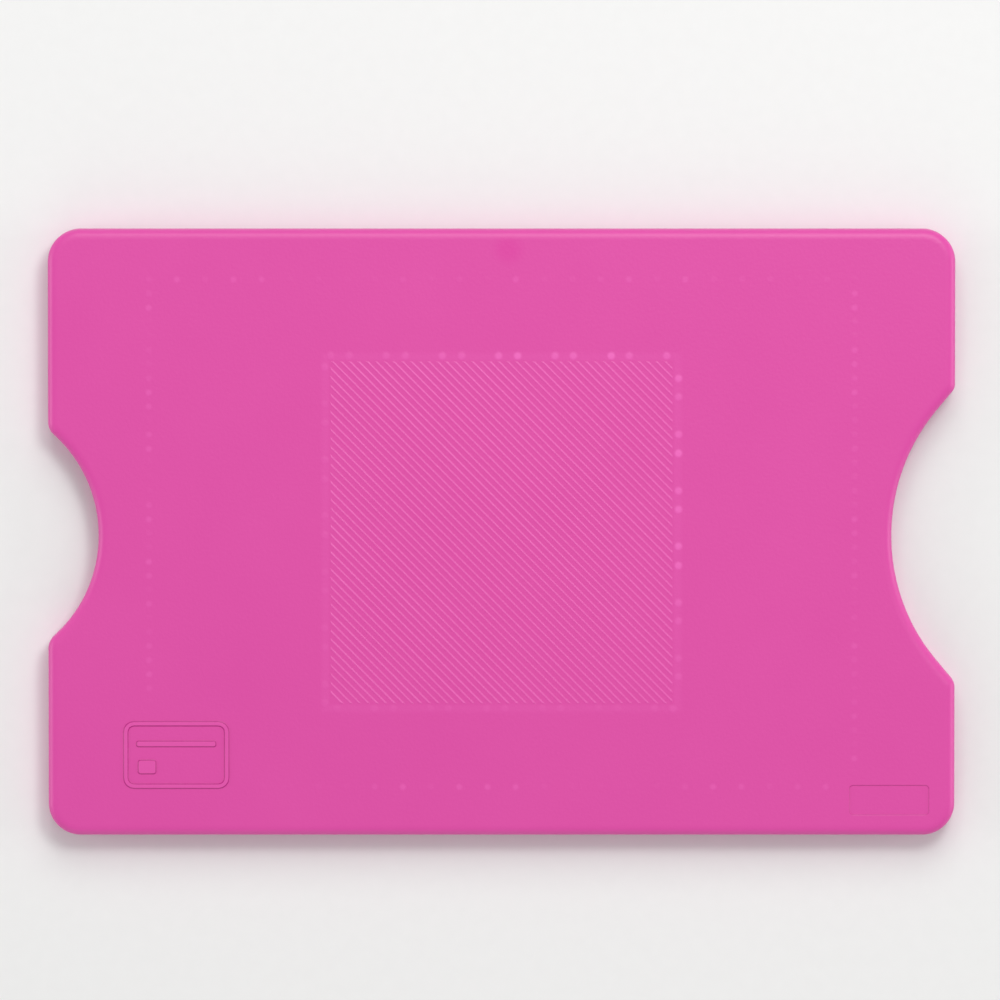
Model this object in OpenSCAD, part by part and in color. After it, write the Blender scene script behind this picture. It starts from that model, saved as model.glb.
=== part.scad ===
// Rigid sleeve for one bank-size card: a moulded tray and its cover, with a foil shield inside each.
// It lies on its back, with its long side along X and its thickness along Z.
// The card slides in at the mouth, which is the +X end. The origin is the middle of the back face.

/* [Card] */
// Length of the card
card_l = 85.6; // [80:0.1:90]
// Width of the card
card_w = 54; // [50:0.1:58]
// Free play beside each long edge of the card
card_play = 0.3; // [0.2:0.05:0.6]
// Height of the space that the card slides in
slot_h = 1.8; // [1.4:0.1:3]

/* [Tray and cover] */
// Width of the end wall, and how far the mouth reaches past the card
end_w = 2.2; // [1.8:0.1:5]
// Width of the rail along each long edge of the card
rail_w = 2.8; // [2.4:0.05:5]
// Thickness of each face plate
plate_t = 1.1; // [1:0.05:2]
// Radius of the four corners, seen from the front
corner_r = 3.2; // [2:0.1:5]
// Radius of the rounded edge round each face
edge_r = 0.8; // [0.3:0.05:0.8]
// Bevel on the tray and on the cover where they meet, which leaves the fine line round the side
seam_bevel = 0.1; // [0.05:0.01:0.15]
// Bevel on the inner edge of each plate at the mouth
mouth_bevel = 0.25; // [0.1:0.05:0.3]
// Length of the flare at the mouth end of each rail
flare_l = 2.5; // [1:0.1:4]
// How far the flare opens on each side
flare_w = 0.5; // [0.2:0.05:0.8]

/* [Thumb notches] */
// How far both notches lie below the middle line
notch_drop = 0.3; // [0:0.05:1]
// Depth of the notch that pushes the card out, at the closed end
push_depth = 5; // [3.5:0.1:8]
// Radius of the push notch
push_r = 13.5; // [11:0.1:18]
// Radius of the two lips where the push notch meets the end
push_lip_r = 1.6; // [1:0.1:2.5]
// Depth of the notch that pulls the card out, at the mouth
pull_depth = 6.3; // [5:0.1:9]
// Radius of the pull notch
pull_r = 19.5; // [16:0.1:24]
// Radius of the two lips where the pull notch meets the end
pull_lip_r = 1.2; // [1:0.1:2.5]
// Slope of the straight flanks of the pull notch, measured from the end of the sleeve
pull_angle = 40; // [34:1:44]

/* [Joint between the tray and the cover] */
// Width of a tongue at its root
tongue_w = 0.8; // [0.6:0.05:1]
// Height of a tongue above the joint
tongue_h = 0.4; // [0.2:0.05:0.6]
// Distance from the end of a tongue to the pin, notch or corner beside it
tongue_stop = 1; // [0.5:0.1:2]
// Radius of the locating pins
pin_r = 0.6; // [0.4:0.05:0.7]
// Height of the locating pins above the joint
pin_h = 0.5; // [0.3:0.05:0.6]
// Clearance round the tongues and the pins
joint_gap = 0.08; // [0.04:0.01:0.12]
// Pins along each rail
pin_count = 3; // [2:1:4]

/* [Grip ribs] */
// Upright ribs on each rail that hold the card by its edge
grip_count = 2; // [1:1:4]
// Distance between neighbouring ribs
grip_pitch = 6; // [4:0.5:9]
// Distance from the mouth to the first rib
grip_start = 8; // [6:0.5:12]
// Radius of a rib
grip_r = 0.6; // [0.4:0.05:0.9]
// Play left between a rib and the edge of the card
grip_play = 0.05; // [0.02:0.01:0.15]

/* [Foil shields] */
// Distance from the edge of the sleeve to the edge of a shield
shield_margin = 3.4; // [2.9:0.1:5]
// Radius of the corners of a shield
shield_corner_r = 1; // [0.5:0.1:3]
// Thickness of the adhesive behind the foil
adhesive_t = 0.06; // [0.03:0.01:0.1]
// Thickness of the aluminium foil
foil_t = 0.06; // [0.03:0.01:0.1]
// Thickness of the film that the card slides on
film_t = 0.06; // [0.03:0.01:0.1]
// Clearance round the edge of a shield in its pocket
pocket_gap = 0.15; // [0.05:0.05:0.3]
// Depth of the film's face below the plate's inner face
film_drop = 0.02; // [0.01:0.01:0.05]

/* [Smoothness] */
// Turn of the outline between two points of an arc, in degrees
arc_step = 6; // [3:1:15]
// Steps across the rounded edge
edge_steps = 5; // [3:1:8]

/* [Hidden] */

plastic_colour = "#e15aab";
adhesive_colour = "#d9d2b8";
foil_colour = "#c9ccd1";
film_colour = "#f2f2f0";

sleeve_l = card_l + 2 * end_w;
slot_w = card_w + 2 * card_play;
sleeve_w = slot_w + 2 * rail_w;
sleeve_t = slot_h + 2 * plate_t;

// Height of the joint, which is also the inner face of the cover
joint_z = plate_t + slot_h;

// Middle lines of the rails and of the end wall beside the push notch
rail_y = (slot_w + rail_w) / 2;
end_x = -(card_l + end_w) / 2;

pocket_depth = adhesive_t + foil_t + film_t + film_drop;
pin_reach = sleeve_l / 2 - corner_r;
pin_xs = [for (i = [0 : pin_count - 1]) pin_reach * (2 * i / (pin_count - 1) - 1)];

// What a joined shape reaches into the solid that carries it, and what a cut runs past a face
root = 0.2;
past = 1;
// How far each side of a tongue leans in for each millimetre of its height
tongue_lean = 0.25;
// Least radius of a corner of an inset outline, and degrees of slope kept for a notch's straight flanks
smallest_r = 0.1;
flank_spare = 1;
$fn = 48;

// Unit normal of the side from a to b, pointing out of an outline that runs anticlockwise
function outward(a, b) = let(d = (b - a) / norm(b - a)) [d.y, -d.x];

function flat(corner) = [corner[0], corner[1]];

// Normals of the two sides that meet at corner i
function normals_at(corners, i) =
    let(n = len(corners), here = flat(corners[i]))
    [outward(flat(corners[(i + n - 1) % n]), here), outward(here, flat(corners[(i + 1) % n]))];

// Step from a corner to the corner of a parallel outline that lies one unit further out
function corner_step(normals) = (normals[0] + normals[1]) / (1 + normals[0] * normals[1]);

// Turn from direction a to direction b, in degrees, positive to the left
function turn(a, b) = atan2(a.x * b.y - a.y * b.x, a * b);

// Points of the arc that rounds corner i
function arc_points(corners, i) =
    let(
        normals = normals_at(corners, i),
        r = corners[i][2],
        centre = flat(corners[i]) - r * corner_step(normals),
        start = atan2(normals[0].y, normals[0].x),
        sweep = turn(normals[0], normals[1]),
        steps = ceil(abs(sweep) / arc_step)
    )
    [for (k = [0 : steps]) centre + r * [cos(start + sweep * k / steps), sin(start + sweep * k / steps)]];

function rounded(corners) = [for (i = [0 : len(corners) - 1]) each arc_points(corners, i)];

// Steepest slope at which a notch's arc and its lips still leave a short straight flank between them
function full_slope(depth, r, lip_r) = acos(1 - depth / (r + lip_r)) - flank_spare;

// Depth of the tip where a notch's two flanks would meet, and half the width of its mouth
function tip_depth(depth, r, slope) = depth - r + r / cos(slope);
function half_mouth(depth, r, slope) = tip_depth(depth, r, slope) / tan(slope);

// Corners of a notch in the end at x, from its lower lip to its upper lip
function notch(x, depth, r, lip_r, slope) =
    let(mouth = half_mouth(depth, r, slope))
    [
        [x, -notch_drop - mouth, lip_r],
        [x - tip_depth(depth, r, slope), -notch_drop, -r],
        [x, -notch_drop + mouth, lip_r]
    ];

// Corners of the outline that runs a margin inside the edge of the sleeve, from the lower left.
// Each is [x, y, radius], with a negative radius where the corner is hollow.
function plan(margin, least_r) =
    let(
        x = sleeve_l / 2 - margin,
        y = sleeve_w / 2 - margin,
        r = max(corner_r - margin, least_r),
        pull_lip = max(pull_lip_r - margin, least_r),
        push_lip = max(push_lip_r - margin, least_r),
        pull_slope = min(pull_angle, full_slope(pull_depth, pull_r + margin, pull_lip)),
        push_slope = full_slope(push_depth, push_r + margin, push_lip),
        pull = notch(x, pull_depth, pull_r + margin, pull_lip, pull_slope),
        push = notch(x, push_depth, push_r + margin, push_lip, push_slope)
    )
    concat(
        [[-x, -y, r], [x, -y, r]],
        pull,
        [[x, y, r], [-x, y, r]],
        [for (i = [2, 1, 0]) [-push[i][0], push[i][1], push[i][2]]]
    );

function outline(margin, least_r = smallest_r) = rounded(plan(margin, least_r));

// Distance from the push notch's middle line to where the end of the sleeve is straight again
push_slope = full_slope(push_depth, push_r, push_lip_r);
push_reach = half_mouth(push_depth, push_r, push_slope) + push_lip_r * tan(push_slope / 2);

// Rounded edge of a face, as [inset, height] from the face to where the side is straight
rounded_edge = [
    for (k = [0 : edge_steps])
        let(a = 90 * k / edge_steps)
        [edge_r * (1 - sin(a)), edge_r * (1 - cos(a))]
];

// Sections of the tray and of the cover, each from its lowest to its highest
tray_sections = concat(rounded_edge, [[0, joint_z - seam_bevel], [seam_bevel, joint_z]]);
cover_sections = concat(
    [[seam_bevel, joint_z], [0, joint_z + seam_bevel]],
    [for (k = [edge_steps : -1 : 0]) [rounded_edge[k][0], sleeve_t - rounded_edge[k][1]]]
);

// A closed solid through the sections, each cap a fan about the middle of the sleeve
module loft(sections) {
    rings = [for (s = sections) [for (p = outline(s[0])) [p.x, p.y, s[1]]]];
    n = len(rings[0]);
    last = (len(rings) - 1) * n;
    low_middle = last + n;
    high_middle = low_middle + 1;
    middles = [[0, 0, sections[0][1]], [0, 0, sections[len(sections) - 1][1]]];
    low_cap = [for (i = [0 : n - 1]) [low_middle, i, (i + 1) % n]];
    high_cap = [for (i = [0 : n - 1]) [high_middle, last + (i + 1) % n, last + i]];
    sides = [
        for (k = [0 : n : last - n], i = [0 : n - 1])
            let(a = k + i, b = k + (i + 1) % n)
            each [[a, a + n, b + n], [a, b + n, b]]
    ];
    polyhedron(concat([for (ring = rings) each ring], middles), concat(low_cap, sides, high_cap));
}

// Space that the card slides in, from the end wall out through the mouth and up past the joint
module card_space() {
    reach = sleeve_l / 2 + past;
    half_w = slot_w / 2;
    flare_x = sleeve_l / 2 - flare_l;
    wide = half_w + flare_w * (flare_l + past) / flare_l;
    translate([0, 0, plate_t])
        linear_extrude(slot_h + past)
            polygon([
                [-card_l / 2, -half_w], [flare_x, -half_w], [reach, -wide],
                [reach, wide], [flare_x, half_w], [-card_l / 2, half_w]
            ]);
}

// Bevel along the inner edge of both plates at the mouth, as wide as the slot
module mouth_opening() {
    x = sleeve_l / 2 - mouth_bevel;
    deep = mouth_bevel + past;
    rotate([90, 0, 0])
        linear_extrude(slot_w, center = true)
            polygon([
                [x, plate_t], [x + deep, plate_t - deep],
                [x + deep, joint_z + deep], [x, joint_z]
            ]);
}

// One layer with the outline of the shields, standing on z
module shield_layer(z, thickness, grown = 0) {
    translate([0, 0, z])
        linear_extrude(thickness)
            polygon(outline(shield_margin - grown, shield_corner_r));
}

module shield_pockets() {
    shield_layer(plate_t - pocket_depth, slot_h + 2 * pocket_depth, pocket_gap);
}

// Upright ribs on both rails near the mouth, from the tray's floor to the joint
module grip_ribs() {
    y = card_w / 2 + grip_play + grip_r;
    for (i = [0 : grip_count - 1], side = [-1, 1])
        translate([sleeve_l / 2 - grip_start - i * grip_pitch, side * y, plate_t - root])
            cylinder(r = grip_r, h = root + slot_h);
}

// A ridge along X with sloping sides, standing on the joint
module ridge(length, width, height) {
    top = width - 2 * tongue_lean * height;
    translate([0, 0, joint_z])
        rotate([90, 0, 90])
            linear_extrude(length, center = true)
                polygon([
                    [-width / 2, -root], [width / 2, -root], [width / 2, 0],
                    [top / 2, height], [-top / 2, height], [-width / 2, 0]
                ]);
}

// Tongues between the pins of both rails and beside the push notch, or the grooves when grown
module tongues(grown = 0) {
    run = pin_xs[1] - pin_xs[0] - 2 * (pin_r + tongue_stop);
    for (i = [0 : pin_count - 2], side = [-1, 1])
        translate([(pin_xs[i] + pin_xs[i + 1]) / 2, side * rail_y, 0])
            ridge(run + 2 * grown, tongue_w + 2 * grown, tongue_h + grown);
    for (side = [-1, 1]) {
        near = push_reach - side * notch_drop + tongue_stop;
        far = sleeve_w / 2 - corner_r - tongue_stop;
        translate([end_x, side * (near + far) / 2, 0])
            rotate([0, 0, 90])
                ridge(far - near + 2 * grown, tongue_w + 2 * grown, tongue_h + grown);
    }
}

// Locating pins on both rails, or their sockets when grown
module pins(grown = 0) {
    for (x = pin_xs, side = [-1, 1])
        translate([x, side * rail_y, joint_z - root])
            cylinder(r = pin_r + grown, h = root + pin_h + grown);
}

// Floor, rails and end wall in one moulding
module back_tray() {
    color(plastic_colour) {
        difference() {
            loft(tray_sections);
            card_space();
            mouth_opening();
            shield_pockets();
        }
        tongues();
        pins();
        grip_ribs();
    }
}

module front_cover() {
    color(plastic_colour)
        difference() {
            loft(cover_sections);
            mouth_opening();
            shield_pockets();
            tongues(joint_gap);
            pins(joint_gap);
        }
}

module back_adhesive() {
    color(adhesive_colour) shield_layer(plate_t - pocket_depth, adhesive_t);
}

module back_foil() {
    color(foil_colour) shield_layer(plate_t - pocket_depth + adhesive_t, foil_t);
}

module back_film() {
    color(film_colour) shield_layer(plate_t - film_drop - film_t, film_t);
}

module front_adhesive() {
    color(adhesive_colour) shield_layer(joint_z + pocket_depth - adhesive_t, adhesive_t);
}

module front_foil() {
    color(foil_colour) shield_layer(joint_z + film_drop + film_t, foil_t);
}

module front_film() {
    color(film_colour) shield_layer(joint_z + film_drop, film_t);
}

back_tray();
back_adhesive();
back_foil();
back_film();
front_cover();
front_adhesive();
front_foil();
front_film();
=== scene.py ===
# %% [markdown]
# # A rigid sleeve for a bank card
#
# The real sleeve is two thin mouldings in pink plastic. The tray is a floor with a rail along each long
# edge and a wall across one end. The cover is a flat plate that is welded on top. A card slides between
# them. A finger pushes it out at the small notch, and a thumb pulls it out at the large one.
#
# A part like this could be cut out of a box with Booleans, but they leave ragged corners on a thin plate.
# It is built here the way its mould is cut instead: an outline of lines and arcs is drawn once, filled,
# pulled up to its height and rounded along its rim. Each small shape is drawn on the flat face in the
# same way and then raised or sunk.

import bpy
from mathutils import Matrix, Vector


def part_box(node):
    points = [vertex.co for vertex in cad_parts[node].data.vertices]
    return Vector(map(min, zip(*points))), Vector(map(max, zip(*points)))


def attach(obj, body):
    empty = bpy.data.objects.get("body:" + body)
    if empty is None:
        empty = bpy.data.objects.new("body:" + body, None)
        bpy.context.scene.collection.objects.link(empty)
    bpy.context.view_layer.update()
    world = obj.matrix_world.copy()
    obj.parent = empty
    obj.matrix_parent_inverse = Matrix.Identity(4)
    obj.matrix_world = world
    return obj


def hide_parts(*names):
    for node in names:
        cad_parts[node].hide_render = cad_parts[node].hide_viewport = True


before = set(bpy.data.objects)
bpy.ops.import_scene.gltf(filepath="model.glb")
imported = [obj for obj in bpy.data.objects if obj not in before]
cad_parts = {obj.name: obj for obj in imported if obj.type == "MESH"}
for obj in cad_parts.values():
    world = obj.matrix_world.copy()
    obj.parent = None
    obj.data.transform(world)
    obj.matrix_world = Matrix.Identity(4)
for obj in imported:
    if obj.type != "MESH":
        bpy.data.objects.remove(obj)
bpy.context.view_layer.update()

# %% Import what the lesson uses
import math
import random

import bmesh
import bpy
from mathutils import Matrix, Vector

# %% [markdown]
# ## Sizes
#
# Blender works in metres, and this part is measured in millimetres. Several mesh operators treat points
# closer than about 0.03 units as one point, so a mesh is drawn at one unit to the millimetre and brought
# down to metres when it is finished.
#
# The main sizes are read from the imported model, so the pieces can't drift away from it. Only the sizes
# that a box can't tell, such as radii, are written down.

# %% Read the main sizes
MM = 0.001


def box_mm(node):
    """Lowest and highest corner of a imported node, in millimetres."""
    return [Vector(round(n / MM, 4) for n in corner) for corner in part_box(node)]


cover_low, cover_high = box_mm("front_cover")
foil_high = box_mm("back_foil")[1]
END_X = cover_high.x
SIDE_Y = cover_high.y
JOINT_Z = cover_low.z
TOP_Z = cover_high.z
PLATE_T = TOP_Z - JOINT_Z
SHIELD_MARGIN = END_X - foil_high.x
print(f"Sleeve {2 * END_X:.1f} x {2 * SIDE_Y:.1f} x {TOP_Z:.1f} mm, with plates {PLATE_T:.1f} mm thick")

# %% Write down the sizes that the boxes don't tell
CORNER_R = 3.2       # the four corners, seen from the front
RIM_R = 0.8          # the rounded edge round each face
SEAM_BEVEL = 0.1     # on both mouldings where they meet
LEAD_IN = 0.25       # on the inner edge of each plate at the mouth
NOTCH_Y = -0.3       # both notches lie a little below the middle line
LEAST_R = 0.1        # the smallest corner of an outline that is drawn further in
SHIELD_R = 1.0       # the smallest corner of a foil shield
CARD_L, CARD_W = 85.6, 54.0
SLOT_PLAY = 0.3      # between the card and each rail
SLOT_HALF = CARD_W / 2 + SLOT_PLAY
FLARE_L, FLARE_W = 2.5, 0.5     # how far back from the mouth the rails open, and by how much each
POCKET_GAP = 0.15    # round the foil, inside its pocket

# Each notch: depth, radius of the hollow, radius of its two lips, steepest slope of its flanks
PUSH_NOTCH = (5.0, 13.5, 1.6, 89)
PULL_NOTCH = (6.3, 19.5, 1.2, 40)

# %% [markdown]
# ## The outline
#
# Seen from the front, the sleeve is a rectangle with four round corners and a thumb notch in each end. A
# notch is one hollow arc between two small lips. The outline is kept as a short list of sharp corners,
# each with its radius, which is how a draughtsman would dimension it. A hollow corner needs no sign of
# its own, because the way that the outline turns there says which side the arc lies on.
#
# The arcs could come from a vertex bevel, but a bevel draws a true circle only at a right angle. Spinning
# one vertex about the arc's centre gives a true arc at any angle.

# %% List the corners of the sleeve
def notch_corners(x, margin, notch, least_r=LEAST_R):
    """Lower lip, tip and upper lip of a notch in the end at x, each as (x, y, radius)."""
    depth, hollow_r, lip_r, steepest = notch
    hollow_r += margin
    lip_r = max(lip_r - margin, least_r)
    straight = 1     # degrees of slope given up, so that a short straight flank stays between the arcs
    slope = math.degrees(math.acos(1 - depth / (hollow_r + lip_r))) - straight
    slope = math.radians(min(slope, steepest))
    tip = depth - hollow_r + hollow_r / math.cos(slope)
    mouth = tip / math.tan(slope)
    return [(x, NOTCH_Y - mouth, lip_r), (x - tip, NOTCH_Y, hollow_r), (x, NOTCH_Y + mouth, lip_r)]


def sleeve_corners(margin=0.0, least_r=LEAST_R):
    """Corners of the outline that runs a margin inside the sleeve's edge, anticlockwise."""
    x, y = END_X - margin, SIDE_Y - margin
    r = max(CORNER_R - margin, least_r)
    pull = notch_corners(x, margin, PULL_NOTCH, least_r)
    push = [(-px, py, pr) for px, py, pr in reversed(notch_corners(x, margin, PUSH_NOTCH, least_r))]
    return [(-x, -y, r), (x, -y, r), *pull, (x, y, r), (-x, y, r), *push]


for name, (x, y, r) in zip(("lower lip", "tip", "upper lip"), notch_corners(END_X, 0, PULL_NOTCH)):
    print(f"Pull notch, {name}: {x:.2f}, {y:.2f}, radius {r}")

# %% Draw a filled outline by spinning a vertex round each corner
def draw_face(bm, corners, z, arc_step=3.0, up=True):
    """Draws the outline at height z, with a vertex for every arc_step degrees of turn, and fills it."""
    known = set(bm.edges)
    points = [Vector((x, y, z)) for x, y, r in corners]
    ends = []
    for i, (x, y, r) in enumerate(corners):
        back = (points[i - 1] - points[i]).normalized()
        ahead = (points[(i + 1) % len(points)] - points[i]).normalized()
        sweep = math.pi - back.angle(ahead)
        first = last = bm.verts.new(points[i] + back * r * math.tan(sweep / 2))
        if r > 0:
            spun = bmesh.ops.spin(
                bm, geom=[first],
                cent=points[i] + (back + ahead).normalized() * r / math.cos(sweep / 2),
                axis=(0, 0, -1 if back.cross(ahead).z > 0 else 1),
                angle=sweep, steps=max(2, math.ceil(math.degrees(sweep) / arc_step)))
            last = next(v for v in spun["geom_last"] if isinstance(v, bmesh.types.BMVert))
        ends.append((first, last))
    for i, (first, last) in enumerate(ends):
        bm.edges.new((last, ends[(i + 1) % len(ends)][0]))
    loop = [e for e in bm.edges if e not in known]
    face = bmesh.ops.contextual_create(bm, geom=loop)["faces"][0]
    face.normal_update()
    if (face.normal.z > 0) != up:
        face.normal_flip()
    return face

# %% [markdown]
# ## Relief on a flat face
#
# Ridges, pips, pockets and sockets all start as small flat faces that lie in the big one. Insetting such
# a face a few times, each time with a width and a height, gives it sloping sides and a soft top, like a
# drafted wall in a mould. The big face round them is then filled with triangles in one go: the fill takes
# every open edge at that height and leaves the drawn shapes as holes, so the whole skin stays one closed
# surface with no overlaps. The edges that it meets are marked hard, so that no slope tints the flat face.

# %% Raise or sink drawn faces, and fill the flat face round them
TINY = 1e-4     # lengths closer than this count as equal


def at_height(item, z):
    """Whether a vertex, edge or face lies at height z."""
    verts = item.verts if hasattr(item, "verts") else [item]
    return all(abs(v.co.z - z) < TINY for v in verts)


def raise_faces(bm, faces, steps):
    """Each step is (how far in, how far out along the normal). A negative second number sinks the face."""
    for width, height in steps:
        bmesh.ops.inset_individual(bm, faces=faces, thickness=width, depth=height, use_even_offset=True)


def flat_faces(bm, z):
    """The faces that lie at height z."""
    return [f for f in bm.faces if at_height(f, z)]


def open_up(bm, faces):
    """Takes away flat faces and leaves their outer edges."""
    bmesh.ops.delete(bm, geom=faces, context="FACES_ONLY")
    bmesh.ops.delete(bm, geom=[e for e in bm.edges if not e.link_faces], context="EDGES")
    bmesh.ops.delete(bm, geom=[v for v in bm.verts if not v.link_edges], context="VERTS")


def fill_round(bm, z, up=True, known=()):
    """Fills the flat face at height z round all that is drawn in it, leaving known edges alone."""
    edges = [e for e in bm.edges if len(e.link_faces) == 1 and at_height(e, z) and e not in known]
    for edge in edges:
        edge.smooth = False
    bmesh.ops.triangle_fill(
        bm, edges=edges, use_beauty=True, use_dissolve=False, normal=(0, 0, 1 if up else -1))

# %% [markdown]
# ## A plate with a rounded rim
#
# Both mouldings start as a plate: the filled outline, extruded to its thickness. The rim is then beveled
# with eight segments and a profile of 0.5, which is a true quarter round. A few insets then carry the
# curve on, ever flatter, because a polished mould has no sudden end to its rounding. The last ring is
# quite flat: it takes up the blend between the curved and the flat normals, so the big face shades level.

# %% Make plates
def new_mesh():
    """An empty mesh whose vertices can note how much painted highlight or painted shade they get."""
    bm = bmesh.new()
    bm.verts.layers.float.new("painted_light")
    return bm


def lift(bm, faces, height):
    """Extrudes faces straight up."""
    grown = bmesh.ops.extrude_face_region(bm, geom=faces)["geom"]
    moved = [g for g in grown if isinstance(g, bmesh.types.BMVert)]
    bmesh.ops.translate(bm, vec=(0, 0, height), verts=moved)


def plate(low_z, high_z):
    """The sleeve's outline as a solid plate between two heights."""
    bm = new_mesh()
    lift(bm, [draw_face(bm, sleeve_corners(), low_z)], high_z - low_z)
    bmesh.ops.recalc_face_normals(bm, faces=bm.faces[:])
    return bm


def rim_edges(bm, z):
    """Edges at height z where a flat face meets a side, told by how differently the two face up."""
    return [
        e for e in bm.edges
        if len(e.link_faces) == 2 and at_height(e, z)
        and abs(abs(e.link_faces[0].normal.z) - abs(e.link_faces[1].normal.z)) > 0.5]


def bevel(bm, edges, width, segments=1):
    """A flat bevel, or a round one with more segments."""
    bmesh.ops.bevel(
        bm, geom=edges, offset=width, offset_type="OFFSET", segments=segments, profile=0.5,
        affect="EDGES", clamp_overlap=False, material=-1)


RIM_SEGMENTS = 8
CROWN = [(0.09, 0.009), (0.09, 0.004), (0.07, 0.0)]
CROWN_H = sum(rise for width, rise in CROWN)


def round_rim(bm, z):
    """Rounds the rim at height z and crowns the face inside it."""
    bevel(bm, rim_edges(bm, z), RIM_R, segments=RIM_SEGMENTS)
    flat = max(flat_faces(bm, z), key=lambda f: f.calc_area())
    raise_faces(bm, [flat], CROWN)


tray = plate(CROWN_H, PLATE_T)
round_rim(tray, CROWN_H)
cover = plate(JOINT_Z, TOP_Z - CROWN_H)
round_rim(cover, TOP_Z - CROWN_H)
print(f"Tray floor: {len(tray.faces)} faces. Cover: {len(cover.faces)} faces.")

# %% [markdown]
# ## The rails and the end wall
#
# The tray's upper face is cut where the rails and the end wall stand. Bisecting with a plane is the
# simplest cut for a straight edge. Two slanted cuts open the rails a little at the mouth, so that a card
# finds its way in. The pieces under the rails and the wall are extruded up to the joint. What was below
# them has become the inside of the plastic, so it is taken away.

# %% Cut the floor, and lift the rails and the end wall
WALL_X = -CARD_L / 2
FLARE_X = END_X - FLARE_L


def slot_half(x):
    """Half the width of the card's slot at x, with the flare at the mouth."""
    return SLOT_HALF + max(0, x - FLARE_X) * FLARE_W / FLARE_L


def cut(bm, z, point, normal):
    """Cuts the faces at height z along a plane. A dict keeps the parts in order, the same each run."""
    parts = dict.fromkeys(g for f in flat_faces(bm, z) for g in (f, *f.edges, *f.verts))
    bmesh.ops.bisect_plane(bm, geom=list(parts), dist=TINY, plane_co=point, plane_no=normal)


def carries_wall(face):
    """Whether a piece of the tray's floor lies outside the card's slot."""
    middle = face.calc_center_median()
    return middle.x < WALL_X or abs(middle.y) > slot_half(middle.x)


cut(tray, PLATE_T, (WALL_X, 0, 0), (1, 0, 0))
for side in (-1, 1):
    cut(tray, PLATE_T, (0, side * SLOT_HALF, 0), (0, 1, 0))
    cut(tray, PLATE_T, (FLARE_X, side * SLOT_HALF, 0), (FLARE_W, -side * FLARE_L, 0))
under_walls = [f for f in flat_faces(tray, PLATE_T) if carries_wall(f)]
lift(tray, under_walls, JOINT_Z - PLATE_T)
open_up(tray, flat_faces(tray, PLATE_T))
print(f"Rails and end wall stand on {len(under_walls)} pieces of the floor")

# %% [markdown]
# ## The floor's pocket and its open edges
#
# The floor is filled round a shallow pocket for the foil shield. The pocket has the shape of the outline,
# drawn further in. At the mouth, the floor's edge is beveled so that the card doesn't catch on it. The
# other open edges, along the notches, only lose their sharpness.

# %% Fill the floor and ease its edges
POCKET_DEEP, POCKET_DRAFT = 0.2, 0.02
EASE = 0.06     # the small bevel that takes the sharpness off


def draw_pocket(bm, z, up):
    """Draws the foil's pocket at height z and sinks it."""
    pocket = draw_face(bm, sleeve_corners(SHIELD_MARGIN - POCKET_GAP, SHIELD_R), z, up=up)
    raise_faces(bm, [pocket], [(POCKET_DRAFT, -POCKET_DEEP)])


def in_mouth(edge):
    """Whether an edge lies on the straight part of the mouth, between the rails."""
    return all(abs(v.co.x - END_X) < TINY and abs(v.co.y) < slot_half(END_X) + TINY for v in edge.verts)


draw_pocket(tray, PLATE_T, up=True)
fill_round(tray, PLATE_T)
bevel(tray, [e for e in rim_edges(tray, PLATE_T) if in_mouth(e)], LEAD_IN)
notch_edges = [
    e for e in rim_edges(tray, PLATE_T)
    if all(abs(v.co.y) < SIDE_Y / 2 + 1 and abs(v.co.x) > SLOT_HALF for v in e.verts)
    and not all(abs(v.co.x - WALL_X) < TINY for v in e.verts)]
bevel(tray, notch_edges, EASE)
print(f"Eased {len(notch_edges)} edges round the notches")

# %% [markdown]
# ## Pins, tongues and grip ribs
#
# Pins and tongues hold the cover in place while it is welded on. They are drawn on the joint face and
# raised. The cover gets the same shapes, a little wider, and sunk. The grip ribs are four upright rods
# half buried in the rails. They stand closer to the card's edges than the rails do, so that it can't shift.

# %% Draw the joint
PIN_XS = [-(END_X - CORNER_R), 0, END_X - CORNER_R]
PIN_R, PIN_H, PIN_DRAFT = 0.6, 0.5, 0.01
TONGUE_W, TONGUE_H, TONGUE_DRAFT = 0.8, 0.4, 0.1
RAIL_MID = (SLOT_HALF + SIDE_Y) / 2
WALL_MID = (WALL_X - END_X) / 2
STOP = 1.0      # from the end of a tongue to the pin or the notch beyond it
PLAY = 0.08     # on each side of a pin in its socket or a tongue in its groove


def draw_disc(bm, x, y, z, r, up=True, segments=20):
    """A filled circle, facing up or down."""
    middle = Matrix.Translation((x, y, z))
    verts = bmesh.ops.create_circle(bm, cap_ends=True, radius=r, segments=segments, matrix=middle)["verts"]
    face = verts[0].link_faces[0]
    face.normal_update()
    if (face.normal.z > 0) != up:
        face.normal_flip()
    return face


def draw_bar(bm, x, y, z, width, height, r=0.0, up=True):
    """A filled rectangle round a middle, with round corners where r isn't 0."""
    w, h = width / 2, height / 2
    corners = [(x - w, y - h, r), (x + w, y - h, r), (x + w, y + h, r), (x - w, y + h, r)]
    return draw_face(bm, corners, z, arc_step=22.5, up=up)


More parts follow.
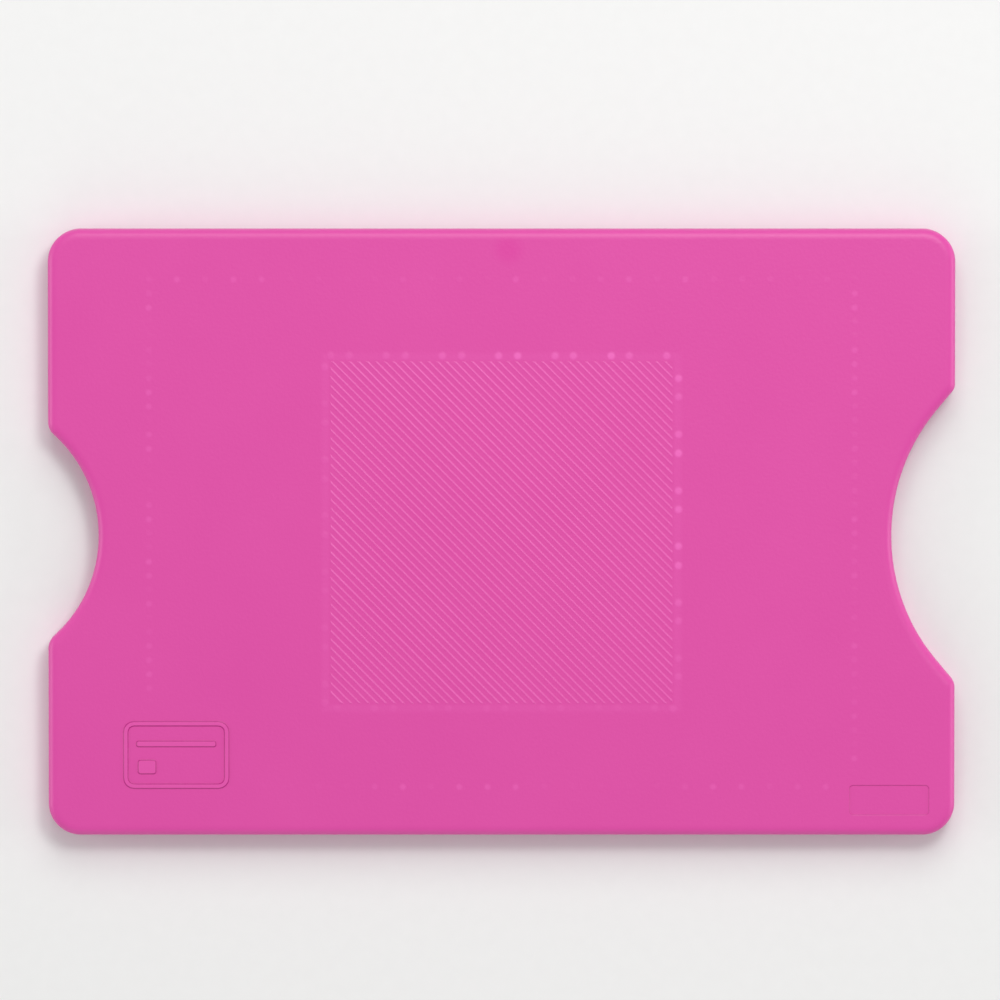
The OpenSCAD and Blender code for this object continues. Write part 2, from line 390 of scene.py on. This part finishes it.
def draw_joint(bm, grow, up):
    """Draws the pins and the tongues, wider by grow on each side. Returns the two lists of faces."""
    ends = [v.co.y for v in bm.verts if abs(v.co.x + END_X) < TINY and v.co.z < TOP_Z - RIM_R + TINY]
    run = PIN_XS[1] - PIN_XS[0] - 2 * (PIN_R + STOP - grow)
    wide = TONGUE_W + 2 * grow
    pins, tongues = [], []
    for side in (-1, 1):
        pins += [draw_disc(bm, x, side * RAIL_MID, JOINT_Z, PIN_R + grow, up) for x in PIN_XS]
        for x0, x1 in zip(PIN_XS, PIN_XS[1:]):
            tongues.append(draw_bar(bm, (x0 + x1) / 2, side * RAIL_MID, JOINT_Z, run, wide, up=up))
        near = min(abs(y) for y in ends if y * side > 0) + STOP - grow
        far = SIDE_Y - CORNER_R - STOP + grow
        tongues.append(
            draw_bar(bm, WALL_MID, side * (near + far) / 2, JOINT_Z, wide, far - near, up=up))
    return pins, tongues


def is_outside(edge):
    """Whether an edge at the joint lies on the sleeve's outline rather than along the card's slot."""
    middle = (edge.verts[0].co + edge.verts[1].co) / 2
    return middle.x < WALL_X - TINY or abs(middle.y) > slot_half(middle.x) + TINY


bevel(tray, [e for e in rim_edges(tray, JOINT_Z) if is_outside(e)], SEAM_BEVEL)
open_up(tray, flat_faces(tray, JOINT_Z))
pins, tongues = draw_joint(tray, 0, up=True)
raise_faces(tray, pins, [(PIN_DRAFT, PIN_H)])
raise_faces(tray, tongues, [(TONGUE_DRAFT, TONGUE_H)])
fill_round(tray, JOINT_Z)
print(f"Tray joint: {len(pins)} pins and {len(tongues)} tongues")

# %% Stand the grip ribs in the rails
RIB_R = 0.6
RIB_XS = [END_X - 8, END_X - 14]
RIB_PLAY = 0.05     # between a rib and the card's edge
RIB_Y = CARD_W / 2 + RIB_PLAY + RIB_R
rib_low, rib_high = PLATE_T - 0.2, JOINT_Z - 0.02     # rooted in the floor, just short of the cover
for x in RIB_XS:
    for y in (-RIB_Y, RIB_Y):
        bmesh.ops.create_cone(
            tray, cap_ends=True, cap_tris=False, segments=32, radius1=RIB_R, radius2=RIB_R,
            depth=rib_high - rib_low, matrix=Matrix.Translation((x, y, (rib_low + rib_high) / 2)))
print(f"Grip ribs at x = {RIB_XS} mm on both rails")

# %% [markdown]
# ## The cover's underside
#
# The cover's lower rim has the same small bevel as the tray, so that the two leave a fine groove all
# round. At the mouth the bevel's points are moved further in, which makes the lead-in for the card.

# %% Bevel the cover's lower rim and sink its pocket, sockets and grooves
bevel(cover, rim_edges(cover, JOINT_Z), SEAM_BEVEL)
for v in cover.verts:
    if abs(v.co.y) < SIDE_Y - CORNER_R + TINY:
        if at_height(v, JOINT_Z) and abs(v.co.x - END_X + SEAM_BEVEL) < TINY:
            v.co.x = END_X - LEAD_IN
        elif at_height(v, JOINT_Z + SEAM_BEVEL) and abs(v.co.x - END_X) < TINY:
            v.co.z = JOINT_Z + LEAD_IN
open_up(cover, flat_faces(cover, JOINT_Z))
draw_pocket(cover, JOINT_Z, up=False)
sockets, grooves = draw_joint(cover, PLAY, up=False)
raise_faces(cover, sockets, [(PIN_DRAFT, -PIN_H - PLAY)])
raise_faces(cover, grooves, [(TONGUE_DRAFT, -TONGUE_H - PLAY)])
fill_round(cover, JOINT_Z, up=False)
print(f"Cover joint: {len(sockets)} sockets and {len(grooves)} grooves")

# %% [markdown]
# ## The hatched square
#
# The front of the cover carries a square of fine slanted ridges. Each ridge is one long quad, turned by
# 45 degrees. Four cuts then trim all of them to the square at once.
#
# The crest of a ridge gets a painted highlight, a lighter pink, and is smoother than its foot. Each raised
# shape notes its painted highlight in a value on its top vertices, which the plastic reads later. A value
# below 0 paints shade instead: a deeper pink at the foot of a steep side, where the sign's strokes and the
# pad begin.

# %% Lay the ridges and trim them to the square
SQUARE = 34.0
HATCH_PITCH = 0.614
HATCH_SHIFT = 0.14     # how far the middle ridge lies beside the square's middle
HATCH_W = 0.24         # a ridge at its foot
HATCH_TURN = math.radians(-45)
SLIVER = 0.2           # square millimetres: a corner trimmed to less than this is left out

relief = new_mesh()
reach = SQUARE * math.sqrt(2)
count = int(reach / 2 / HATCH_PITCH)
slant = Matrix.Rotation(HATCH_TURN, 4, "Z")
shape = Matrix.Diagonal((reach, HATCH_W, 1, 1))
for i in range(-count, count + 1):
    place = slant @ Matrix.Translation((0, i * HATCH_PITCH + HATCH_SHIFT, TOP_Z)) @ shape
    bmesh.ops.create_grid(relief, x_segments=1, y_segments=1, size=0.5, matrix=place)
for normal in ((1, 0, 0), (-1, 0, 0), (0, 1, 0), (0, -1, 0)):
    bmesh.ops.bisect_plane(
        relief, geom=relief.verts[:] + relief.edges[:] + relief.faces[:], dist=TINY,
        plane_co=Vector(normal) * SQUARE / 2, plane_no=normal, clear_outer=True)
slivers = [f for f in relief.faces if f.calc_area() < SLIVER]
bmesh.ops.delete(relief, geom=slivers, context="FACES")
print(f"{len(relief.faces)} ridges, {HATCH_PITCH} mm apart")

# %% [markdown]
# ## Pips, a card sign and a bare pad
#
# Soft pips stand round the square, two and then a gap, and a fainter row of marks frames the whole face.
# A pip is a filled circle with three insets, which crown it like a shallow dome, and a mark has two. The
# card sign at the lower left is a ring with a stripe and a small square in it, and the shallow field at
# the lower right is bare. No two shapes may touch, because the fill needs some flat face between them.
#
# Each ridge and pip gets a painted highlight of its own random strength. The draws
# are seeded and made in a fixed order, so every run gives the same painted highlights.

# %% Move the ridges onto the face and raise them
def raised(bm, faces, steps, strengths=None):
    """Raises faces by steps of (width, height, painted light), and gives each a top that shades flat.

    The painted light is a painted highlight above 0 and painted shade below 0. The strengths, one for each
    face, scale how much of it each face gets.
    """
    layer = bm.verts.layers.float["painted_light"]
    for width, height, painted_light in steps:
        raise_faces(bm, faces, [(width, height)])
        for face, strength in zip(faces, strengths or [1.0] * len(faces)):
            for v in face.verts:
                v[layer] = painted_light * strength
    for face in faces:
        for edge in face.edges:
            edge.smooth = False


# The third number in each step is the painted highlight on the ridge's crest
RIDGE = [(0.06, 0.02, 0.35), (0.04, 0.008, 0.72)]

random.seed(7)
open_up(cover, [max(flat_faces(cover, TOP_Z), key=lambda f: f.calc_area())])
known = set(cover.faces)
strips = bpy.data.meshes.new("relief")
relief.to_mesh(strips)
cover.from_mesh(strips)
bpy.data.meshes.remove(strips)
relief.free()
ridges = [f for f in cover.faces if f not in known]
strengths = [random.uniform(0.5, 0.95) for ridge in ridges]
raised(cover, ridges, RIDGE, strengths)
# The layer of painted highlight and painted shade: every edge at a painted highlight shades flat
painted_light_layer = cover.verts.layers.float["painted_light"]
for edge in cover.edges:
    if any(v[painted_light_layer] > 0 for v in edge.verts):
        edge.smooth = False
print(f"{len(ridges)} ridges raised")

# %% Press pips round the square, with every third place left out
# The third number in each step is the painted highlight on the pip's top
PIP = [(0.1, 0.003, 0.25), (0.12, 0.009, 0.8), (0.1, 0.004, 1.0)]
PIP_R = 0.5
PIP_PITCH = 1.855
PIP_PLACES = 9                           # to each side of the middle one
PIP_SHIFTS = (-0.3, 1.4, -0.3, -0.3)     # clockwise, along the top, right, bottom and left side
PIP_JITTER = 0.05
PIP_LINE = SQUARE / 2 + 0.55             # from the square's middle to a row of pips
PIP_END = SQUARE / 2 + 0.1               # no row runs on past this


def painted_light_at(x, y):
    """How strong a pip's painted highlight is there: least at the lower left and fully at the upper right,
    where the light comes from.
    """
    return min(1, max(0.15, 0.35 + (x + y) / 30))


pips, strengths = [], []
for side, shift in enumerate(PIP_SHIFTS):
    turn = Matrix.Rotation(math.radians(-90 * side), 4, "Z")
    for i in range(-PIP_PLACES, PIP_PLACES + 1):
        along = i * PIP_PITCH + shift
        if i % 3 == 2 or abs(along) > PIP_END:
            continue
        place = turn @ Vector((along + random.uniform(-PIP_JITTER, PIP_JITTER), PIP_LINE, 0))
        pips.append(draw_disc(cover, place.x, place.y, TOP_Z, PIP_R))
        strengths.append(painted_light_at(place.x, place.y) * random.uniform(0.5, 1.0))
raised(cover, pips, PIP, strengths)
print(f"{len(pips)} pips round the square")

# %% Press the fainter frame, which stops short of the sign and the pad
SIGN, SIGN_CLEAR = Vector((-32.3, -22.1)), (6.2, 4.6)     # the middle, and half the space kept clear
PAD, PAD_CLEAR = Vector((38.5, -26.6)), (4.9, 2.2)
MARK = [(0.12, 0.003, 0.4), (0.12, 0.004, 1.0)]
MARK_R = 0.42
FRAME_W, FRAME_H = 70.0, 50.4
FRAME_Y = -0.1                       # the frame's middle
ROW_PITCH, ROW_GAPS = 2.8, 25        # along the top and the bottom
COLUMN_PITCH, COLUMN_GAPS = 1.4, 36  # along both ends


def is_clear(x, y):
    """Whether a mark fits there without touching the sign or the pad."""
    return not any(
        abs(x - middle.x) < wide and abs(y - middle.y) < high
        for middle, (wide, high) in ((SIGN, SIGN_CLEAR), (PAD, PAD_CLEAR)))


marks = []
for side in (-1, 1):
    row_y = side * FRAME_H / 2 + FRAME_Y
    spots = [(i * ROW_PITCH - FRAME_W / 2, row_y) for i in range(ROW_GAPS + 1)]
    for i in range(1, COLUMN_GAPS):
        spots.append((side * FRAME_W / 2, i * COLUMN_PITCH - FRAME_H / 2 + FRAME_Y))
    marks += [draw_disc(cover, x, y, TOP_Z, MARK_R, segments=16) for x, y in spots if is_clear(x, y)]
strengths = [0.4 * random.uniform(0.1, 1.0) ** 2 for mark in marks]     # squared: few marks are pale
raised(cover, marks, MARK, strengths)
print(f"{len(marks)} marks in the frame")

# %% Draw the card sign and the pad
# The third number in each step is painted light: below 0 painted shade at the foot of a side, above 0 a
# painted highlight on a top
STROKE = [(0.03, 0.01, -1.0), (0.08, 0.08, -1.0), (0.03, 0.015, 0.2)]
RING_INSIDE = [(0.3, 0.0, 0.2), (0.03, -0.015, -1.0), (0.08, -0.08, -1.0), (0.03, -0.01, 0.0)]
PAD_SIDE = [(0.03, -0.01, -0.6), (0.06, -0.06, -0.6), (0.02, -0.01, 0.0)]
RING_W, RING_H, RING_R = 10.6, 6.8, 1.1
STRIPE_W, STRIPE_H, STRIPE_R, STRIPE_UP = 8.0, 0.7, 0.25, 1.1
CHIP_W, CHIP_H, CHIP_R, CHIP_LEFT, CHIP_DOWN = 1.9, 1.5, 0.3, 2.9, 1.2
PAD_W, PAD_H, PAD_R = 8.0, 3.05, 0.4

ring = draw_bar(cover, SIGN.x, SIGN.y, TOP_Z, RING_W, RING_H, r=RING_R)
raised(cover, [ring], STROKE)
raised(cover, [ring], RING_INSIDE)
known = set(cover.edges) - set(ring.edges)
open_up(cover, [ring])
stripe = draw_bar(cover, SIGN.x, SIGN.y + STRIPE_UP, TOP_Z, STRIPE_W, STRIPE_H, r=STRIPE_R)
chip = draw_bar(cover, SIGN.x - CHIP_LEFT, SIGN.y - CHIP_DOWN, TOP_Z, CHIP_W, CHIP_H, r=CHIP_R)
raised(cover, [stripe, chip], STROKE)
fill_round(cover, TOP_Z, known=known)
pad = draw_bar(cover, PAD.x, PAD.y, TOP_Z, PAD_W, PAD_H, r=PAD_R)
raised(cover, [pad], PAD_SIDE)
fill_round(cover, TOP_Z)
print(f"Cover with its relief: {len(cover.faces)} faces")

# %% [markdown]
# ## Finish the mouldings
#
# Faces that meet at more than 35 degrees keep a hard edge and all others shade smoothly. The mesh comes
# down to metres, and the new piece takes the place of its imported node.

# %% Turn a mesh into a piece
HARD_ANGLE = math.radians(35)


def finish_piece(bm, name, node):
    """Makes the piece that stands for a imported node."""
    bmesh.ops.recalc_face_normals(bm, faces=bm.faces[:])
    bmesh.ops.scale(bm, vec=(MM, MM, MM), verts=bm.verts[:])
    for face in bm.faces:
        face.smooth = True
    for edge in bm.edges:
        if edge.calc_face_angle(0) > HARD_ANGLE:
            edge.smooth = False
    mesh = bpy.data.meshes.new(name)
    bm.to_mesh(mesh)
    bm.free()
    piece = bpy.data.objects.new(name, mesh)
    bpy.context.scene.collection.objects.link(piece)
    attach(piece, "root")
    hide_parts(node)
    print(f"{name}: {len(mesh.polygons)} faces")
    return piece


tray_piece = finish_piece(tray, "tray_moulding", "back_tray")
cover_piece = finish_piece(cover, "cover_moulding", "front_cover")

# %% [markdown]
# ## Materials
#
# Every material is built from noise whose scale comes from a real size in millimetres. Colours are written
# as they look on a screen and turned into linear light by one function.

# %% Helpers for colours and nodes
def linear(colour):
    """An sRGB hex colour as linear red, green, blue and alpha."""
    parts = [int(colour[i:i + 2], 16) / 255 for i in (1, 3, 5)]
    return [c / 12.92 if c <= 0.04045 else ((c + 0.055) / 1.055) ** 2.4 for c in parts] + [1.0]


def per_metre(size_mm):
    """The scale of a noise whose features are that size."""
    return 1 / (size_mm * MM)


def add_node(tree, kind, inputs=(), **settings):
    """Adds a node. An input is given a value, or linked where it is given another node's output."""
    node = tree.nodes.new("ShaderNode" + kind)
    for key, value in settings.items():
        setattr(node, key, value)
    for key, value in dict(inputs).items():
        if isinstance(value, bpy.types.NodeSocket):
            tree.links.new(value, node.inputs[key])
        else:
            node.inputs[key].default_value = value
    return node


def new_material(name):
    """A material with only its output and a Principled shader. Returns it, its tree and the shader."""
    material = bpy.data.materials.new(name)
    material.use_nodes = True
    tree = material.node_tree
    tree.nodes.clear()
    shader = add_node(tree, "BsdfPrincipled")
    add_node(tree, "OutputMaterial", {"Surface": shader.outputs["BSDF"]})
    return material, tree, shader

# %% [markdown]
# ### Injection-moulded pink plastic, satin
#
# The mould's spark-eroded skin leaves a fine grain, which breaks a highlight into a soft haze. The dye is
# never mixed quite evenly, so the pink drifts a little over some millimetres. Crests carry a painted
# highlight and are a little smoother, and the feet of the sign's strokes and of the pad's sides carry
# painted shade, a deeper pink.
# Two marks on the front come from the mould: a pale band where the plastic flows round the square, and a
# darker spot where it was let in at the top.

# %% Start the pink plastic with a slow drift of its dye
PINK = "#D944A0"
PINK_DRIFT = "#DC49A3"
DRIFT_SIZE = 9

plastic, tree, shader = new_material("Injection-moulded pink ABS, satin")
place = add_node(tree, "TexCoord").outputs["Object"]
drift = add_node(tree, "TexNoise", {"Vector": place, "Scale": per_metre(DRIFT_SIZE), "Detail": 2.0})
body = add_node(
    tree, "Mix", {"Factor": drift.outputs[0], 6: linear(PINK), 7: linear(PINK_DRIFT)},
    data_type="RGBA")

# %% Draw the pale band by how far a point lies outside the square
BAND_PALE = 0.12
BAND_INNER = (0.0, 0.25)       # it grows over these distances from the square's edge
BAND_OUTER = (0.6, 1.05)       # and fades over these
FRONT_Z = TOP_Z - 0.2          # only what lies higher has the band

xyz = add_node(tree, "SeparateXYZ", {"Vector": place})
across = add_node(tree, "Math", {0: xyz.outputs["X"]}, operation="ABSOLUTE")
along = add_node(tree, "Math", {0: xyz.outputs["Y"]}, operation="ABSOLUTE")
outside = add_node(tree, "Math", {0: across.outputs[0], 1: along.outputs[0]}, operation="MAXIMUM")
inner, outer = [
    {"Value": outside.outputs[0], "From Min": (SQUARE / 2 + near) * MM, "From Max": (SQUARE / 2 + far) * MM}
    for near, far in (BAND_INNER, BAND_OUTER)]
band = add_node(tree, "MapRange", {**inner, "To Max": BAND_PALE})
fade = add_node(tree, "MapRange", {**outer, "To Min": 1.0, "To Max": 0.0})
ringed = add_node(tree, "Math", {0: band.outputs[0], 1: fade.outputs[0]}, operation="MULTIPLY")
front = add_node(tree, "Math", {0: xyz.outputs["Z"], 1: FRONT_Z * MM}, operation="GREATER_THAN")
pale = add_node(tree, "Math", {0: ringed.outputs[0], 1: front.outputs[0]}, operation="MULTIPLY")
print(f"Pale band from {SQUARE / 2} to {SQUARE / 2 + BAND_OUTER[1]} mm off the middle")

# %% Draw the gate mark by how near a point lies to its middle
PINK_GATE = "#D8309A"
GATE_X, GATE_Y = 0.7, 28.1
GATE_INNER_R, GATE_OUTER_R = 0.4, 2.0
GATE_DARK = 0.5

gate_distance = add_node(
    tree, "VectorMath", {0: place, 1: (GATE_X * MM, GATE_Y * MM, TOP_Z * MM)}, operation="DISTANCE")
gate = add_node(
    tree, "MapRange",
    {"Value": gate_distance.outputs["Value"], "From Min": GATE_INNER_R * MM,
     "From Max": GATE_OUTER_R * MM, "To Min": GATE_DARK, "To Max": 0.0},
    interpolation_type="SMOOTHSTEP")

# %% Paint highlights on crests, lighten the pale band and paint shade at the feet of steep sides
# The lighter pink is the painted highlight on crests and the pale band. The deeper pink is painted shade at
# the feet of steep sides
PINK_HIGHLIGHT_AND_BAND = "#EC64BA"
PINK_FOOT_SHADE = "#B81C80"

# The painted light value: above 0 a painted highlight, below 0 painted shade
painted_light = add_node(tree, "Attribute", attribute_name="painted_light").outputs["Fac"]
lighter = add_node(tree, "Math", {0: painted_light, 1: pale.outputs[0]}, operation="ADD", use_clamp=True)
lightened = add_node(
    tree, "Mix", {"Factor": lighter.outputs[0], 6: body.outputs[2], 7: linear(PINK_HIGHLIGHT_AND_BAND)},
    data_type="RGBA")
foot_shade = add_node(tree, "MapRange", {"Value": painted_light, "From Min": 0.0, "From Max": -1.0})
foot_shaded = add_node(
    tree, "Mix", {"Factor": foot_shade.outputs[0], 6: lightened.outputs[2], 7: linear(PINK_FOOT_SHADE)},
    data_type="RGBA")
marked = add_node(
    tree, "Mix", {"Factor": gate.outputs[0], 6: foot_shaded.outputs[2], 7: linear(PINK_GATE)},
    data_type="RGBA")
tree.links.new(marked.outputs[2], shader.inputs["Base Color"])

# %% Add the gloss and the grain, and dress both mouldings
GRAIN_SIZE, GRAIN_DEEP = 0.3, 0.03     # a real grain is near 0.05 mm, which is too fine to show
ROUGH_PLAIN, ROUGH_LIGHTER = 0.42, 0.34

grain = add_node(tree, "TexNoise", {"Vector": place, "Scale": per_metre(GRAIN_SIZE), "Detail": 3.0})
bump = add_node(
    tree, "Bump", {"Strength": 0.5, "Distance": GRAIN_DEEP * MM, "Height": grain.outputs[0]})
roughness = add_node(
    tree, "MapRange", {"Value": lighter.outputs[0], "To Min": ROUGH_PLAIN, "To Max": ROUGH_LIGHTER})
tree.links.new(roughness.outputs[0], shader.inputs["Roughness"])
tree.links.new(bump.outputs["Normal"], shader.inputs["Normal"])
for piece in (tray_piece, cover_piece):
    piece.data.materials.append(plastic)
print(f"{plastic.name}: {len(tree.nodes)} nodes")

# %% [markdown]
# ### The foil shield
#
# Each shield is an aluminium foil that a film of acrylic adhesive holds in the moulding, under a polyester
# film on which the card slides. The rolling of the foil leaves fine lines along its length. The adhesive
# is slightly yellow and soft. The polyester is smooth, with faint rub marks along the card's travel.
# Lines and rubs are a noise stretched along X, and are drawn coarser than the real ones so that they show.

# %% Make the foil, with its rolled lines
FOIL_DULL, FOIL_BRIGHT = "#DCDEE2", "#EEEFF1"
LINE_SIZE, LINE_DEEP = 0.15, 0.005
LINE_SQUEEZE = 0.05     # the noise is read this much slower along X, which draws it out into lines

foil, tree, shader = new_material("Rolled aluminium foil")
place = add_node(tree, "TexCoord").outputs["Object"]
stretched = add_node(tree, "Mapping", {"Vector": place, "Scale": (LINE_SQUEEZE, 1, 1)})
lines = add_node(
    tree, "TexNoise", {"Vector": stretched.outputs[0], "Scale": per_metre(LINE_SIZE), "Detail": 3.0})
tint = add_node(
    tree, "Mix", {"Factor": lines.outputs[0], 6: linear(FOIL_DULL), 7: linear(FOIL_BRIGHT)},
    data_type="RGBA")
rough = add_node(tree, "MapRange", {"Value": lines.outputs[0], "To Min": 0.22, "To Max": 0.36})
bump = add_node(
    tree, "Bump", {"Strength": 0.2, "Distance": LINE_DEEP * MM, "Height": lines.outputs[0]})
shader.inputs["Metallic"].default_value = 1.0
tree.links.new(tint.outputs[2], shader.inputs["Base Color"])
tree.links.new(rough.outputs[0], shader.inputs["Roughness"])
tree.links.new(bump.outputs["Normal"], shader.inputs["Normal"])
print(f"{foil.name}: lines {LINE_SIZE} mm wide")

# %% Make the adhesive, faintly clouded
GLUE_DULL, GLUE_PALE = "#E3DDC6", "#EDE8D6"
CLOUD_SIZE = 3

adhesive, tree, shader = new_material("Acrylic transfer adhesive")
place = add_node(tree, "TexCoord").outputs["Object"]
cloud = add_node(tree, "TexNoise", {"Vector": place, "Scale": per_metre(CLOUD_SIZE), "Detail": 2.0})
tint = add_node(
    tree, "Mix", {"Factor": cloud.outputs[0], 6: linear(GLUE_DULL), 7: linear(GLUE_PALE)},
    data_type="RGBA")
shader.inputs["Roughness"].default_value = 0.35
tree.links.new(tint.outputs[2], shader.inputs["Base Color"])
print(f"{adhesive.name}: clouds {CLOUD_SIZE} mm wide")

# %% Make the film, with its rub marks, and dress the six layers
FILM_DULL, FILM_PALE = "#C9CBCE", "#D6D7D9"
RUB_SIZE = 0.4
RUB_SQUEEZE = 0.04

film, tree, shader = new_material("Polyester film, clear over foil")
place = add_node(tree, "TexCoord").outputs["Object"]
stretched = add_node(tree, "Mapping", {"Vector": place, "Scale": (RUB_SQUEEZE, 1, 1)})
rubs = add_node(
    tree, "TexNoise", {"Vector": stretched.outputs[0], "Scale": per_metre(RUB_SIZE), "Detail": 4.0})
tint = add_node(
    tree, "Mix", {"Factor": rubs.outputs[0], 6: linear(FILM_DULL), 7: linear(FILM_PALE)},
    data_type="RGBA")
rough = add_node(tree, "MapRange", {"Value": rubs.outputs[0], "To Min": 0.16, "To Max": 0.3})
tree.links.new(tint.outputs[2], shader.inputs["Base Color"])
tree.links.new(rough.outputs[0], shader.inputs["Roughness"])

for side in ("back", "front"):
    for layer, material in (("adhesive", adhesive), ("foil", foil), ("film", film)):
        for material_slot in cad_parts[f"{side}_{layer}"].material_slots:
            material_slot.material = material
        print(f"{side}_{layer}: {material.name}")

# %% [markdown]
# ## Floor, light and camera
#
# The sleeve lies on a pale floor. A plain sky gives the even part of the light. One large softbox beyond
# the top edge makes the rim there shine and lets the face darken a little towards the bottom, and a
# weaker one on the other side keeps the lower rim readable. Two low ones light up the rims at the ends.
#
# The floor is matt white card. Its fibres scatter the light, so it looks evenly pale and has no gloss.

# %% Lay the floor
FLOOR_HALF = 1.5
FLOOR_Z = -0.00002     # a hair below the sleeve, so that the two faces don't fight
CARD_DULL, CARD_PALE = "#EBEBEA", "#EEEEED"
FIBRE_SIZE = 1.5       # tufts of fibre: single fibres are too fine to show

floor_mesh = bpy.data.meshes.new("floor")
bm = bmesh.new()
bmesh.ops.create_grid(bm, x_segments=1, y_segments=1, size=FLOOR_HALF)
bm.to_mesh(floor_mesh)
bm.free()
floor = bpy.data.objects.new("floor", floor_mesh)
floor.location.z = FLOOR_Z
bpy.context.scene.collection.objects.link(floor)

paper, tree, shader = new_material("Matt white card")
place = add_node(tree, "TexCoord").outputs["Object"]
fibre = add_node(tree, "TexNoise", {"Vector": place, "Scale": per_metre(FIBRE_SIZE), "Detail": 2.0})
tint = add_node(
    tree, "Mix", {"Factor": fibre.outputs[0], 6: linear(CARD_DULL), 7: linear(CARD_PALE)},
    data_type="RGBA")
shader.inputs["Roughness"].default_value = 0.8
tree.links.new(tint.outputs[2], shader.inputs["Base Color"])
floor_mesh.materials.append(paper)
print(f"Floor of {2 * FLOOR_HALF} m, {paper.name}")

# %% Light it
SKY_STRENGTH = 0.46

scene = bpy.context.scene
scene.world = bpy.data.worlds.new("Studio")
scene.world.use_nodes = True
sky = scene.world.node_tree.nodes["Background"]
sky.inputs["Color"].default_value = (1, 1, 1, 1)
sky.inputs["Strength"].default_value = SKY_STRENGTH


def softbox(name, place, size, power):
    """A square area light of that size in metres and power in watts, which looks at the sleeve."""
    light = bpy.data.lights.new(name, "AREA")
    light.size = size
    light.energy = power
    lamp = bpy.data.objects.new(name, light)
    lamp.location = place
    lamp.rotation_euler = (-Vector(place)).to_track_quat("-Z", "Y").to_euler()
    scene.collection.objects.link(lamp)


softbox("softbox beyond the top edge", (0.05, 0.38, 0.45), 0.4, 1.45)
softbox("small softbox overhead", (0.12, 0.2, 0.45), 0.12, 0.5)
softbox("weak softbox below", (-0.1, -0.55, 0.2), 0.4, 0.4)
softbox("low softbox on the left", (-0.6, 0.0, 0.14), 0.3, 0.9)
softbox("low softbox on the right", (0.6, 0.0, 0.14), 0.3, 0.9)
scene.view_settings.view_transform = "Standard"

# %% Point the camera nearly straight down
AIM = Vector((-0.00015, 0.00325, 0.004))     # on the sleeve's face
TILT = math.radians(2.9)                     # from straight above, towards the top edge
FAR = 1.25                                   # far enough that the picture is nearly without perspective
SEEN_W = 0.0992                              # the width at the face that fills the picture
SENSOR_W = 36

lens = bpy.data.cameras.new("camera")
lens.type = "PERSP"
lens.sensor_width = SENSOR_W
lens.lens = SENSOR_W * FAR / SEEN_W
camera = bpy.data.objects.new("camera", lens)
camera.location = AIM + FAR * Vector((0, math.sin(TILT), math.cos(TILT)))
camera.rotation_euler = (-TILT, 0, 0)
scene.collection.objects.link(camera)
scene.camera = camera
print(f"Camera {FAR} m away, lens {lens.lens:.0f} mm")
